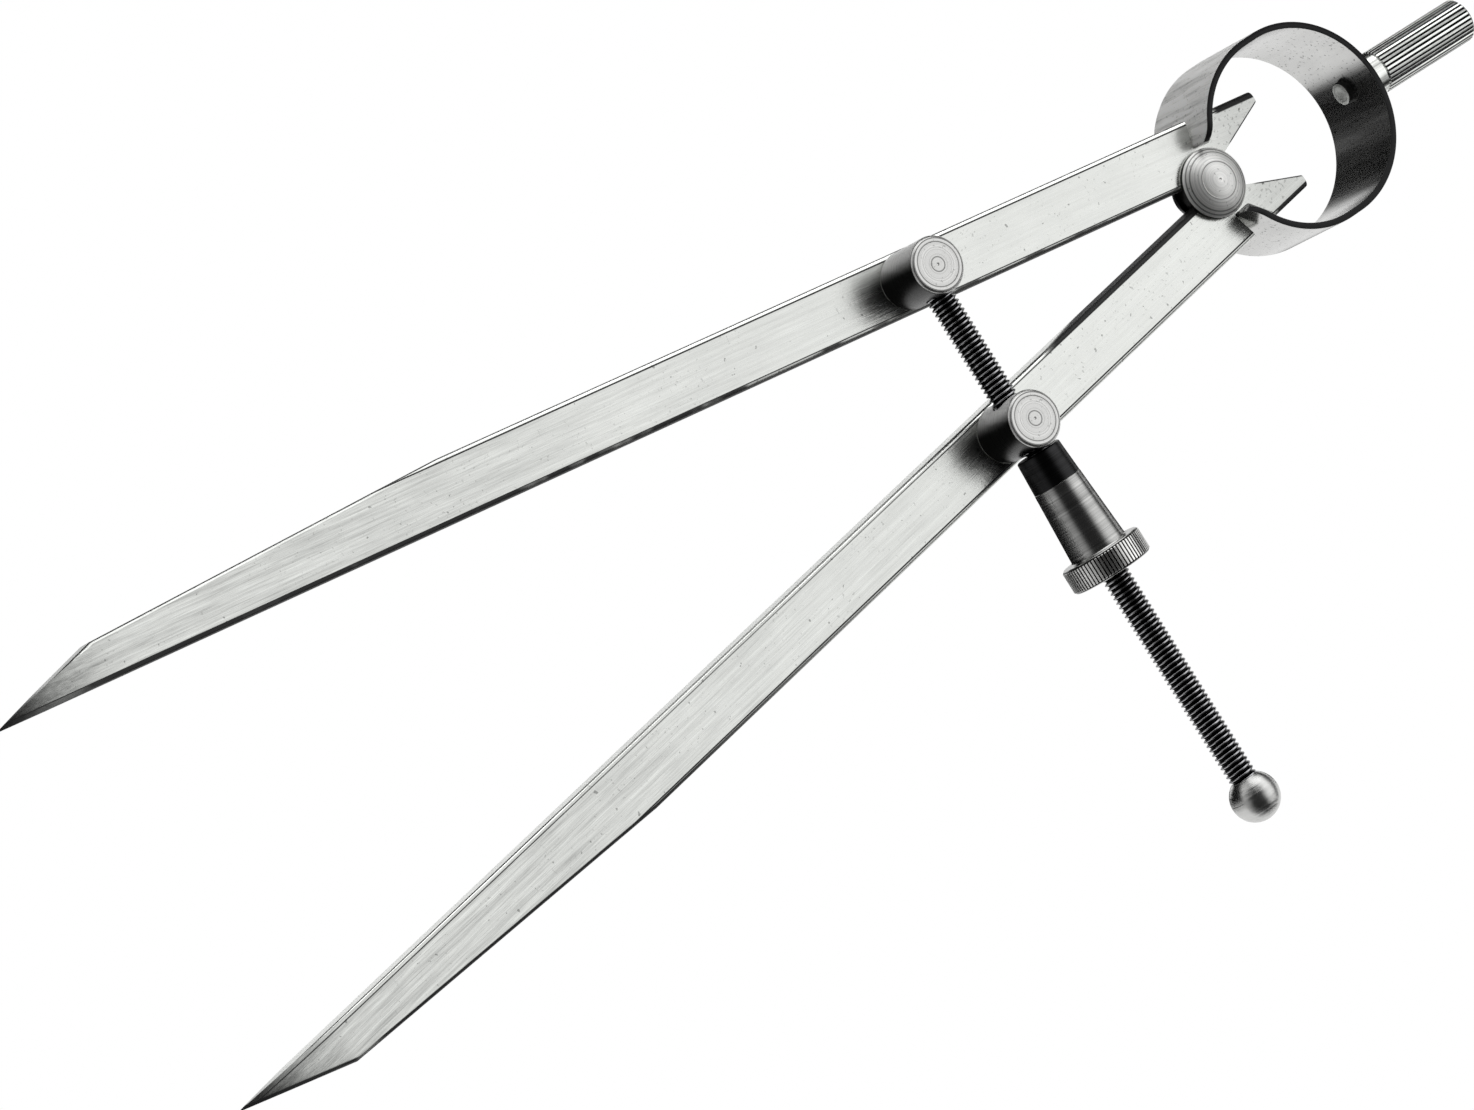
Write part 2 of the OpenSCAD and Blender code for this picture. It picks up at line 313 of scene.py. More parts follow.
def close_up():
    """Merges what lies in one place, turns every face outwards, and ends the edit."""
    bpy.ops.mesh.select_mode(type="VERT")
    select_mesh()
    bpy.ops.mesh.remove_doubles(threshold=TINY)
    bpy.ops.mesh.normals_make_consistent(inside=False)
    done()


def turned(name, profile, steps=96):
    """A piece turned round +Z from its half profile, a row of (radius, height)."""
    points = [(r, 0, z) for r, z in profile]
    piece = point(name, points[0])
    draw(points)
    select_mesh()
    bpy.ops.mesh.spin(steps=steps, angle=2 * pi, center=(0, 0, 0), axis=(0, 0, 1))
    close_up()
    return piece


def along_screw(x):
    """The place of a piece made round +Z that goes on the screw, starting at x."""
    return Matrix.Translation((x, POST_AT.y, SCREW_Z)) @ Matrix.Rotation(pi / 2, 4, "Y")


def modified(piece, kind, **settings):
    """Gives a piece a modifier and applies it."""
    alone(piece)
    bpy.ops.object.modifier_add(type=kind)
    modifier = piece.modifiers[-1]
    for name, setting in settings.items():
        setattr(modifier, name, setting)
    bpy.ops.object.modifier_apply(modifier=modifier.name)


def smooth(piece, sharp_from=32):
    """Smooth shading with sharp corners kept and flat faces left flat."""
    alone(piece)
    bpy.ops.object.shade_smooth_by_angle(angle=radians(sharp_from))
    modified(piece, "WEIGHTED_NORMAL", keep_sharp=True)


def bored(piece, tool, operation="DIFFERENCE"):
    """Cuts a tool's shape out of a piece, or joins it on, and removes the tool."""
    modified(piece, "BOOLEAN", operation=operation, solver="EXACT", object=tool)
    alone(tool)
    bpy.ops.object.delete()


def rod(radius, low, high, place=None, sides=64):
    """A plain round tool along +Z for a cut."""
    select_nothing()
    bpy.ops.mesh.primitive_cylinder_add(
        vertices=sides,
        radius=radius,
        depth=high - low,
        location=(0, 0, (low + high) / 2),
    )
    apply_place()
    tool = bpy.context.active_object
    return placed(tool, place) if place else tool


def twin(piece, name):
    """The same piece on the other side of the middle line."""
    alone(piece)
    bpy.ops.object.duplicate()
    other = named(name)
    editing(other)
    select_mesh()
    bpy.ops.transform.mirror(
        orient_type="GLOBAL",
        constraint_axis=(True, False, False),
        center_override=(0, 0, 0),
    )
    bpy.ops.mesh.normals_make_consistent(inside=False)
    done()
    smooth(other, FLAT_SHARP)
    return other


def finish(piece, material, body, node):
    """Gives a piece its finish and its body, and hides the CAD node it stands for.

    A piece given no body is left unattached.
    """
    piece.data.materials.clear()
    piece.data.materials.append(material)
    if body:
        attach(piece, body)
    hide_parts(node)


def fluted(name, diameter, height, flutes, fine):
    """A round bar along +Z with straight V flutes and chamfered ends, from z 0.

    Each half of a flute and its crest has the given number of sides.
    """
    sizes = bpy.context.scene.divider_knurl
    depth, chamfer = sizes.depth, sizes.chamfer
    crest = diameter / 2
    root = crest - depth
    end = crest - chamfer
    gap = (0.5 - sizes.land / 2) * 2 * pi / flutes
    sides = flutes * 2 * fine
    step = 2 * pi / sides

    def radius(turn):
        """The bar's radius at an angle, where it is fluted."""
        off = abs((turn / step + fine) % (2 * fine) - fine) * step
        return root + depth * min(1, off / gap)

    select_nothing()
    bpy.ops.mesh.primitive_circle_add(vertices=sides, radius=end, fill_type="NGON")
    bar = named(name)
    editing(bar)
    rings = [
        (chamfer - depth, root),
        (chamfer, None),
        (height - chamfer, None),
        (height - chamfer + depth, root),
        (height, end),
    ]
    select_mesh()
    reached = 0
    for z, plain in rings:
        extrude_up(z - reached)
        reached = z
        shape = bmesh.from_edit_mesh(bar.data)
        for corner in [v for v in shape.verts if v.select]:
            flat = corner.co.xy.normalized()
            turn = flat.angle_signed(Vector((0, 1))) % (2 * pi)
            corner.co.xy = flat * (plain or radius(turn))
        bmesh.update_edit_mesh(bar.data)
    close_up()
    return bar


# Finishes


class Value:
    """A number or colour in a node tree. Sums with it add Math nodes."""

    def __init__(self, nodes, socket):
        self.nodes = nodes
        self.socket = socket

    def math(self, operation, first, second=0.0):
        return self.nodes.node("Math", {"operation": operation}, {0: first, 1: second})

    def __add__(self, other):
        return self.math("ADD", self, other)

    def __sub__(self, other):
        return self.math("SUBTRACT", self, other)

    def __rsub__(self, other):
        return self.math("SUBTRACT", other, self)

    def __mul__(self, other):
        return self.math("MULTIPLY", self, other)

    def __pow__(self, other):
        return self.math("POWER", self, other)

    __radd__ = __add__
    __rmul__ = __mul__

    def size(self):
        return self.math("ABSOLUTE", self)

    def highest(self, other):
        return self.math("MAXIMUM", self, other)

    def lowest(self, other):
        return self.math("MINIMUM", self, other)

    def between(self, low, high):
        """0 where the value is at low, 1 where it is at high, smooth between them."""
        settings = {"interpolation_type": "SMOOTHSTEP", "clamp": True}
        values = {"Value": self, "From Min": low, "From Max": high}
        return self.nodes.node("MapRange", settings, values)

    def span(self, low, high):
        """The same for a place, with both ends in millimetres."""
        return self.between(low * MM, high * MM)


def radius_of(one, other):
    """How far a place is from an axis, by its distances along the two others."""
    return (one * one + other * other) ** 0.5


class Nodes:
    """An empty node tree of a material or a world."""

    def __init__(self, owner):
        owner.use_nodes = True
        self.tree = owner.node_tree
        self.tree.nodes.clear()

    def node(self, kind, settings=None, inputs=None, output=0):
        """Adds a node: its settings first, then its sockets' values or links."""
        made = self.tree.nodes.new("ShaderNode" + kind)
        for name, setting in (settings or {}).items():
            setattr(made, name, setting)
        for name, value in (inputs or {}).items():
            if isinstance(value, Value):
                self.tree.links.new(value.socket, made.inputs[name])
            else:
                made.inputs[name].default_value = value
        return Value(self, made.outputs[output]) if made.outputs else None


class Steel(Nodes):
    """A metal finish, patterned in object coordinates."""

    def __init__(self, name, centre=(0, 0, 0), turn=(0, 0, 0)):
        self.material = bpy.data.materials.new(name)
        super().__init__(self.material)
        self.place = self.node("TexCoord", output="Object")
        if any(centre) or any(turn):
            self.place = self.node(
                "Mapping",
                {"vector_type": "TEXTURE"},
                {"Vector": self.place, "Location": centre, "Rotation": turn},
            )
        self.x, self.y, self.z = self.split(self.place)

    def split(self, vector):
        parts = self.node("SeparateXYZ", inputs={"Vector": vector})
        outputs = parts.socket.node.outputs
        return [Value(self, outputs[axis]) for axis in "XYZ"]

    def normal(self):
        return self.split(self.node("NewGeometry", output="Normal"))

    def facing(self):
        """How far the surface faces the front or back, from 0 to 1."""
        return self.normal()[2].size()

    def noise(self, scale, detail, rough, finer=None):
        """Clouds, or streaks where the noise is made finer along some axes."""
        where = self.place
        if finer:
            where = self.node(
                "VectorMath", {"operation": "MULTIPLY"}, {0: where, 1: finer}
            )
        values = {"Vector": where, "Scale": scale, "Detail": detail, "Roughness": rough}
        return self.node("TexNoise", {"noise_dimensions": "3D"}, values)

    def lines(self, value, scale, detail):
        """Fine lines that follow one value, such as turning marks."""
        values = {"W": value, "Scale": scale, "Detail": detail, "Roughness": 0.65}
        return self.node("TexNoise", {"noise_dimensions": "1D"}, values)

    def specks(self, scale, above, fade=0.03):
        """1 on small scattered specks, where a fine noise rises above a level."""
        return self.noise(scale, 2, 0.6).between(above, above + fade)

    def mix(self, share, low, high, clamped=True):
        """A colour between two, by a share. The node's sockets 6 and 7 take colours."""
        low, high = (c if isinstance(c, Value) else (*c, 1) for c in (low, high))
        settings = {"data_type": "RGBA", "clamp_factor": clamped}
        return self.node("Mix", settings, {0: share, 6: low, 7: high}, output=2)

    def shade(self, tint, amount):
        """A colour times a number that varies and may pass 1."""
        return self.mix(amount.highest(0.0), (0, 0, 0), tint, clamped=False)

    def bump(self, height, strength, distance, under=None):
        """A bump, with its distance in millimetres, over another bump or none."""
        values = {"Height": height, "Strength": strength, "Distance": distance * MM}
        if under:
            values["Normal"] = under
        return self.node("Bump", inputs=values)

    def made(self, tint, rough, bump, metallic=1.0, **constants):
        """Wires the shader and returns the material."""
        values = {"Base Color": tint, "Roughness": rough, "Metallic": metallic}
        values.update(constants, Normal=bump)
        shader = self.node("BsdfPrincipled", inputs=values)
        self.node("OutputMaterial", inputs={"Surface": shader})
        return self.material


# Where the legs and the bow are not metallic, on their painted shade, painted
# highlights and the strip's rims, they shine little
LOW_SHINE = {"Specular IOR Level": 0.2}


def colours():
    return bpy.context.scene.divider_steel


def ground_steel(name, turn, right_shading):
    """A leg: ground lengthwise, with painted shade that blackens its edges and darkens
    its point.

    With the right leg's shading, the painted shade on the inner wall ends part way
    down, and the outer edge is painted blacker towards the point. The sides that the
    painted shade leaves get a painted highlight and are pale. Places are in
    millimetres, off the middle line and along the leg, where those below the fulcrum
    are negative.
    """
    steel = Steel(name, turn=(0, 0, turn))
    tints = colours()
    sizes = bpy.context.scene.divider_legs
    inner_line = (sizes.inner + sizes.rounding) / MM
    outer_line = (sizes.inner + sizes.width - sizes.rounding) / MM
    bevel_at = (sizes.bevel - sizes.reach) / MM
    off, along = steel.x.size(), steel.y
    brush = steel.noise(1150, 4, 0.62, (9, 0.2, 9))
    streaks = steel.noise(700, 3, 0.6, (3, 0.07, 3))
    cloud = steel.noise(90, 3, 0.55)
    where = steel.noise(210, 2, 0.6).between(0.4, 0.62)
    down = along.span(-20, -140)

    # Painted shade: black lines run where the long edges are rounded, and round the
    # tail
    facing = steel.facing()
    near_inner = 1 - off.span(1.5, 3)
    steep = 1 - facing.between(0.55, 0.85)
    side = 1 - facing.between(0.94, 0.998)
    side = side + (steep - side) * along.span(bevel_at + 4, bevel_at + 1.5)
    inner_band = 1 - off.span(inner_line - 0.02, inner_line + 0.06)
    inner_border = inner_band * off.span(inner_line - 0.14, inner_line - 0.04)
    outer_border = off.span(outer_line - 0.08, outer_line - 0.02)
    outer_border = outer_border * (1 - off.span(outer_line + 0.06, outer_line + 0.14))
    tail = along.span(4, 4.8)
    off_line = (off - sizes.inner) * cos(sizes.tail_turn)
    off_line = off_line - along * sin(sizes.tail_turn)
    tail_line = tail * (1 - off_line.span(0.06, 0.16))
    if right_shading:
        # Painted shade on the right leg: the inner wall is black near the head and
        # lighter halfway down, and a band along the bevel is black
        black_above = (steel.z * 2.5 + along).span(-20.5, -17.5)
        halfway = along.span(-40, -60) * (1 - along.span(-92, -112))
        bevel_turn = atan2(sizes.bevel_width - sizes.point, sizes.bevel)
        off_bevel = (sizes.inner + sizes.point - off) * cos(bevel_turn)
        off_bevel = off_bevel + (along + sizes.reach) * sin(bevel_turn)
        point_band = along.span(bevel_at + 1.5, bevel_at - 0.5)
        point_band = point_band * (1 - off_bevel.span(0.3, 0.44))
        inner = inner_border * (1 - halfway * 0.35)
        inner = inner.highest(inner_band * black_above).highest(point_band)
        outer = outer_border.highest(side * along.span(-50, -100)).highest(point_band)
        highlight_zone = near_inner * (1 - black_above)
        tail_band = off.span(outer_line, outer_line + 0.15)
    else:
        # Painted shade on the left leg's inner wall: patchy, darker down the leg and
        # weaker past the bevel's start
        inner_band_shade = 0.1 + where * 0.6 + down * 0.85
        inner_band_shade = inner_band_shade * (1 - along.span(bevel_at + 1, bevel_at - 6) * 0.45)
        inner = inner_border.highest(steep)
        inner = inner.highest((inner_band * inner_band_shade).between(0, 1))
        outer = outer_border * (1 - along.span(-100, -130))
        highlight_zone = (1 - near_inner) * (1 - tail) * (1 - along.span(-80, -110))
        tail_band = off.span(outer_line - 0.3, outer_line - 0.15)
    edge = outer + (inner - outer) * near_inner
    edge = edge.highest(side * tail * (1 - near_inner)).highest(tail_line)
    edge = edge.highest(tail * tail_band)

    # Scratches grow stronger down the leg, and specks lie closest on the tail
    specks = steel.specks(3000, 0.655) * (0.1 + where * 0.6)
    specks = specks.highest(steel.specks(2600, 0.6) * along.span(-2, 6) * 0.8)
    pits = steel.specks(1300, 0.7, 0.02) * 0.8
    scratches = (brush - 0.5) * (0.3 + down * 0.9)
    scratches = scratches + (streaks - 0.5) * (0.3 + down * 0.8)
    light = 1.1 - down * 0.14 - along.span(-2, 7) * 0.28 + scratches
    light = light + (cloud - 0.5) * 0.2
    light = light * (1 - specks * 0.4) * (1 - pits * 0.6)
    # Painted shade darkens the face towards the point
    point_end = along.span(bevel_at - 2, bevel_at - 10.5)
    light = light * (1 - point_end * point_end * 0.8)
    # Painted highlight: the sides that the painted shade leaves are paler, and on the
    # right leg less metallic halfway down
    pale = side * highlight_zone * (1 - edge.lowest(1.0))
    light = light + pale * 0.5
    tint = steel.mix(edge * 0.97, steel.shade(tints.ground, light), tints.scale)
    rough = 0.17 + brush * 0.1 + streaks * 0.08 + edge * 0.25
    grain = steel.bump(brush + streaks * 0.5, 0.35, 0.04)
    dents = steel.bump(cloud, 0.12, 0.6, grain)
    metal = 1 - edge * 0.92
    if right_shading:
        metal = metal * (1 - pale * halfway * 0.4)
    return steel.made(tint, rough, dents, metal, **LOW_SHINE)


def strip_steel():
    """The bow: streaked across the strip, with sheared black rims.

    It is bright, but on the left half of the bow's outside it is satin, with painted
    light making it lighter.
    """
    steel = Steel("strip_steel")
    tints = colours()
    drawn = steel.noise(260, 4, 0.6, (6, 6, 0.5))
    cloud = steel.noise(160, 3, 0.6)
    rim = steel.facing().between(0.08, 0.3)
    specks = steel.specks(2600, 0.62, 0.05)
    across, along, _ = steel.normal()
    outside = (across * steel.x + along * (steel.y - BOW_MIDDLE)).span(0, 1)
    # Painted light: the left half of the outside is lightened, with its streaks made
    # stronger
    satin = outside * steel.x.span(3, -3)
    light = 0.7 + drawn * 0.26 + cloud * 0.24
    light = light * (1 - specks * 0.55) + satin * ((drawn - 0.5) * 2.2 + 0.65)
    tint = steel.mix(rim, steel.shade(tints.strip, light), tints.scale)
    rough = 0.15 + drawn * 0.12 + rim * 0.3 + satin * 0.3
    grain = steel.bump(drawn, 0.07 + satin * 0.4, 0.06)
    metal = 1 - rim.highest(satin * 0.75) * 0.9
    return steel.made(tint, rough, grain, metal, **LOW_SHINE)


def fluted_steel(foot_at, turn, sizes):
    """The handle: bright crests over flutes blackened by painted shade, which lie along
    the pattern's Z.

    The spigot inside the bow is painted dark as shade, apart from its mottled end.
    """
    steel = Steel("fluted_steel", foot_at, turn)
    tints = colours()
    depth = bpy.context.scene.divider_knurl.depth
    crest = sizes.diameter / 2
    radius = radius_of(steel.x, steel.y)
    # Painted shade: below the crests the flutes take the black scale colour
    high = radius.between(crest - 0.24 * depth, crest - 0.02 * depth)
    high = high.highest(1 - steel.z.between(sizes.foot, sizes.foot + 0.4 * MM))
    lands = steel.noise(1700, 2, 0.6, (1, 1, 0.02))
    wear = steel.noise(1400, 3, 0.6)
    mottle = steel.noise(1900, 3, 0.6)
    inside = steel.z.span(0, -0.4)
    upward = steel.normal()[1]
    high = high.highest(upward.between(0.7, 0.9))
    bright = 1.1 + (lands - 0.5) * 3.6 + (wear - 0.5) * 0.6
    # Painted shade darkens the spigot's sides inside the bow
    spigot = 0.1 + upward.between(-0.5, -0.8) * (0.75 + mottle * 0.9)
    light = high * bright.lowest(1.6) * (1 - inside) + inside * spigot
    tint = steel.mix(light.highest(0.0), tints.scale, tints.ground, clamped=False)
    rough = 0.16 + wear * 0.1 + inside * 0.35
    return steel.made(tint, rough, steel.bump(wear, 0.2, 0.04))


def faced_steel(name, centre, tone, scale, rough, outlines, lit_side=0.0, satin=0.0):
    """A face turned in rings round a pin's own Z, with a dark barrel.

    The outlines are radii of thin lines painted dark as the shade of fine grooves and
    steps.
    The barrel is painted lighter on its left where it has a lit side, and a satin face
    has less of a mirror's sheen.
    """
    steel = Steel(name, centre)
    radius = radius_of(steel.x, steel.y)
    rings = steel.lines(radius, scale, 4)
    coarse = steel.lines(radius + 0.01, scale / 4, 2)
    up = steel.lines(steel.z, 9000, 3)
    face = steel.facing().between(0.2, 0.45)
    marks = rings * face + up * (1 - face)
    light = tone * (1 + (marks - 0.5) * 0.9 + (coarse - 0.5) * face * 0.35)
    # Painted shade: thin dark lines at the outlines' radii, on the face
    for outline in outlines:
        dark = 1 - (radius - outline).size().span(0.02, 0.09)
        light = light * (1 - dark * face * 0.7)
    left = steel.x.span(-0.8, -2.6) * lit_side
    barrel = 0.06 + left * 1.45
    specks = steel.specks(2600, 0.65) * face
    light = light * (1 - specks * 0.35) * (barrel + face * (1 - barrel))
    cuts = steel.bump(marks + coarse * 0.6, 0.3 + satin * 0.6, 0.05)
    metal = 1 - (1 - face) * left * 0.85 - face * satin
    tint = steel.shade(colours().turned, light)
    return steel.made(tint, rough + marks * 0.1, cuts, metal)


def turned_steel(name, tint, tone, rough, scale, cut):
    """A bar turned round the screw's axis, with marks that follow X."""
    steel = Steel(name)
    marks = steel.lines(steel.x, scale, 4)
    bands = steel.lines(steel.x, scale / 5, 2)
    cloud = steel.noise(420, 3, 0.6)
    light = tone + marks * 0.16 + bands * 0.14 + cloud * 0.08
    dull = rough + marks * 0.12 + cloud * 0.06
    return steel.made(steel.shade(tint, light), dull, steel.bump(marks, cut, 0.05))


def sleeve_steel(sizes, depth):
    """The nut's sleeve and flange: turned marks, and flutes round the rim darkened by
    painted shade.
    """
    steel = Steel("sleeve_steel", (0, POST_AT.y, SCREW_Z))
    radius = radius_of(steel.y, steel.z)
    crest = sizes.flange / 2
    high = radius.between(crest - 0.5 * depth, crest - 0.1 * depth)
    rim = radius.between(crest - 1.3 * depth, crest - 1.1 * depth)
    marks = steel.lines(steel.x, 5200, 4)
    bands = steel.lines(steel.x, 900, 2)
    wear = steel.noise(900, 3, 0.6)
    turned_light = 0.7 + (marks - 0.5) * 0.8 + (bands - 0.5) * 0.6
    # Painted shade: the flange's grooves are nearly black below its crests
    knurl_light = 0.03 + high * (0.9 + wear * 0.9)
    light = turned_light * (1 - rim) + knurl_light * rim
    rough = 0.19 + marks * 0.08 + rim * 0.06
    tint = steel.shade(colours().turned, light)
    return steel.made(tint, rough, steel.bump(marks, 0.2, 0.05))


def washer_steel():
    """Black oxide over steel, rubbed brighter in places and lightly oiled."""
    steel = Steel("black_washer_steel")
    rub = steel.noise(900, 4, 0.6)
    cloud = steel.noise(240, 2, 0.5)
    tint = steel.shade(colours().black, 0.31 + rub * 0.25 + cloud * 0.1)
    return steel.made(tint, 0.26 + cloud * 0.12, steel.bump(rub, 0.15, 0.04))


def threaded_steel(root, crest):
    """The black screw, with painted highlights on its crests over painted shade in its
    grooves.
    """
    steel = Steel("black_thread_steel", (0, POST_AT.y, SCREW_Z))
    # Painted highlight on the crests, painted shade in the grooves
    crest_highlight = radius_of(steel.y, steel.z).between(root + 0.45 * (crest - root), crest)
    wear = steel.noise(900, 4, 0.6)
    tint = steel.shade(colours().black, 0.05 + crest_highlight * (1.6 + wear * 2.0))
    return steel.made(tint, 0.18 + wear * 0.1, steel.bump(wear, 0.15, 0.04))


# Pieces


def leg_outline(sizes):
    """The right leg's outline, in its frame: along it to the point, and outwards."""
    outer = sizes.inner + sizes.width
    tail_inner = sizes.inner + sizes.tail * tan(sizes.tail_turn)
    end_slope = tan(sizes.tail_end_turn)
    corner = sizes.notch_corner
    return [
        (0, sizes.inner),
        (sizes.reach, sizes.inner),
        (sizes.reach, sizes.inner + sizes.point),
        (sizes.reach - sizes.bevel, sizes.inner + sizes.bevel_width),
        (sizes.reach - sizes.taper, outer),
        (-sizes.notch_lip, outer),
        (corner, sizes.notch_floor),
        (corner - sizes.notch_floor_width, sizes.notch_floor),
        (-sizes.notch_lip - sizes.notch_mouth, outer),
        (-sizes.tail + (outer - tail_inner) * end_slope, outer),
        (-sizes.tail, tail_inner),
    ]


# The outline's rows for the notch's floor and the tail's inner corner
EASED_CORNERS = (6, 7, 10)


def make_leg(sizes, pins):
    """The right leg, shaped in its own frame and then put in its place."""
    outline = leg_outline(sizes)
    back, front = LEG_LOW.z, LEG_HIGH.z
    points = [(x, y, back) for x, y in outline]
    leg = point("leg_right_ground", points[0])
    draw(points)
    select_mesh()
    bpy.ops.mesh.edge_face_add()
    extrude_up(front - back)
    select_mesh()
    bpy.ops.mesh.normals_make_consistent(inside=False)

    # The inside corners of the notch and the tail's inner corner are eased first
    eased = [Vector(outline[i]) for i in EASED_CORNERS]

    def upright(edge, a, b):
        near = any((a.xy - spot).length < TINY for spot in eased)
        return abs(a.z - b.z) > MM and near

    pick_edges(leg, upright)
    bpy.ops.mesh.bevel(offset=0.22 * MM, segments=3)

    # The long edges of both faces are rounded below the notch. Above it only the
    # tail's outer edge is, at the front, and more.
    outer = sizes.inner + sizes.width
    tail_from = -4 * MM
    shortest = 1.5 * MM

    def tail_edge(edge, a, b):
        level = abs(a.z - b.z) < TINY and abs(a.z - front) < TINY
        return level and min(a.y, b.y) > outer - TINY and max(a.x, b.x) < tail_from

    def long_edge(edge, a, b):
        if abs(a.z - b.z) > TINY or (a - b).length < shortest:
            return False
        if abs(a.y - sizes.inner) < TINY and abs(b.y - sizes.inner) < TINY:
            return True
        if abs(a.y - outer) < TINY and abs(b.y - outer) < TINY:
            return min(a.x, b.x) > tail_from
        return min(a.x, b.x) > sizes.reach - sizes.taper - MM

    pick_edges(leg, tail_edge)
    bpy.ops.mesh.bevel(offset=0.6 * MM, segments=3)
    pick_edges(leg, long_edge)
    bpy.ops.mesh.bevel(offset=sizes.rounding, segments=5)

    # The point is ground thinner from both faces, each pass shallower than the last
    half = (front - back) / 2
    mid = (front + back) / 2
    passes = 11
    hollow = 1.9
    ground = sizes.grind + 4 * MM
    taken = 1 - sizes.point / half / 2
    heights = [1 - taken * (1 - i / passes) ** hollow for i in range(passes + 1)]
    step = ground / passes
    for i, (low, high) in enumerate(zip(heights, heights[1:])):
        for side in (1, -1):
            end = Vector((sizes.reach - i * step, 0, mid + side * half * low))
            start = Vector((sizes.reach - (i + 1) * step, 0, mid + side * half * high))
            slope = end - start
            cut_off(start, Vector((-slope.z * side, 0, slope.x * side)).normalized())

    def ground_border(edge, a, b):
        if len(edge.link_faces) != 2 or min(a.x, b.x) < sizes.reach - ground - MM:
            return False
        tilts = sorted(abs(face.normal.y) for face in edge.link_faces)
        return tilts[0] < 0.01 and tilts[1] > 0.05

    pick_edges(leg, ground_border)
    bpy.ops.mesh.mark_sharp()
    close_up()

    across = sizes.inner + sizes.width / 2
    along = sqrt(POST_AT.xy.length_squared - across**2)
    post_hole = Matrix.Translation((along, across, 0))
    for diameter, place in ((pins.barrel, None), (pins.shank, post_hole)):
        bored(leg, rod(diameter / 2 + CLEARANCE, back - MM, front + MM, place))
    placed(leg, Matrix.Rotation(sizes.turn - pi / 2, 4, "Z"))
    smooth(leg, FLAT_SHARP)
    return leg


class DIVIDERS_OT_legs(bpy.types.Operator):
    """Models both legs"""

    bl_idname = "dividers.legs"
    bl_label = "Legs"

    def execute(self, context):
        sizes = context.scene.divider_legs
        right = make_leg(sizes, context.scene.divider_pins)
        left = twin(right, "leg_left_ground")
        for leg, side, turn in ((right, "right", 1), (left, "left", -1)):
            steel = ground_steel(
                "ground_steel_" + side, turn * sizes.turn, right_shading=leg == right
            )
            finish(leg, steel, side + "_leg", "leg_" + side)
        return {"FINISHED"}


def bow_line(sizes, radius):
    """The middle of the strip's right half, from the top to its end at the notch."""
    low = BOW_HIGH.y - sizes.radius - sizes.flat
    high = low + sizes.flat
    fine = 72
    turns = [pi / 2 * (i - 0.5) / (fine - 0.5) for i in range(1, fine + 1)]
    points = [(radius * sin(turn), high + radius * cos(turn)) for turn in turns]
    # The first step crosses the middle line square, so both halves meet smoothly
    points.insert(0, (0, points[0][1]))
    last = pi - asin(sizes.opening / radius)
    for i in range(fine + 1):
        turn = pi / 2 + (last - pi / 2) * sin(pi / 2 * i / fine)
        points.append((radius * sin(turn), low + radius * cos(turn)))
    return points


def make_bow(sizes, name):
    """The right half of the bow, from the middle line to its end in the notch."""
    mid = sizes.radius - sizes.thickness / 2
    points = [(x, y, BOW_HIGH.z) for x, y in bow_line(sizes, mid)]
    strip = point(name, points[0])
    draw(points)
    select_mesh()
    extrude_up(BOW_LOW.z - BOW_HIGH.z)
    end = Vector(points[-1]).xy
    half = (BOW_HIGH.z - BOW_LOW.z) / 2
    shape = bmesh.from_edit_mesh(strip.data)
    for corner in shape.verts:
        off = min(sizes.corner, (corner.co.xy - end).length)
        cut = sizes.corner - sqrt(sizes.corner**2 - (sizes.corner - off) ** 2)
        from_middle = corner.co.z - BOW_LOW.z - half
        corner.co.z -= cut if from_middle > 0 else -cut
    bmesh.update_edit_mesh(strip.data)
    close_up()
    modified(
        strip, "SOLIDIFY", thickness=sizes.thickness, offset=0, use_even_offset=True
    )
    editing(strip)

    def rim(edge, a, b):
        square = len(edge.link_faces) == 2 and edge.calc_face_angle(0) > radians(60)
        return square and max(abs(a.x), abs(b.x)) > 0.05 * MM

    pick_edges(strip, rim)
    bpy.ops.mesh.bevel(offset=sizes.rim, segments=2)
    close_up()
    smooth(strip, FLAT_SHARP)
    return strip


class DIVIDERS_OT_bow(bpy.types.Operator):
    """Models the bow spring as two halves"""

    bl_idname = "dividers.bow"
    bl_label = "Bow spring"

    def execute(self, context):
        right = make_bow(context.scene.divider_bow, "bow_right_half")
        left = twin(right, "bow_left_half")
        steel = strip_steel()
        for half, body in ((right, "right_leg"), (left, "left_leg")):
            finish(half, steel, None, "bow_spring")
            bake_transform(half)
        return {"FINISHED"}


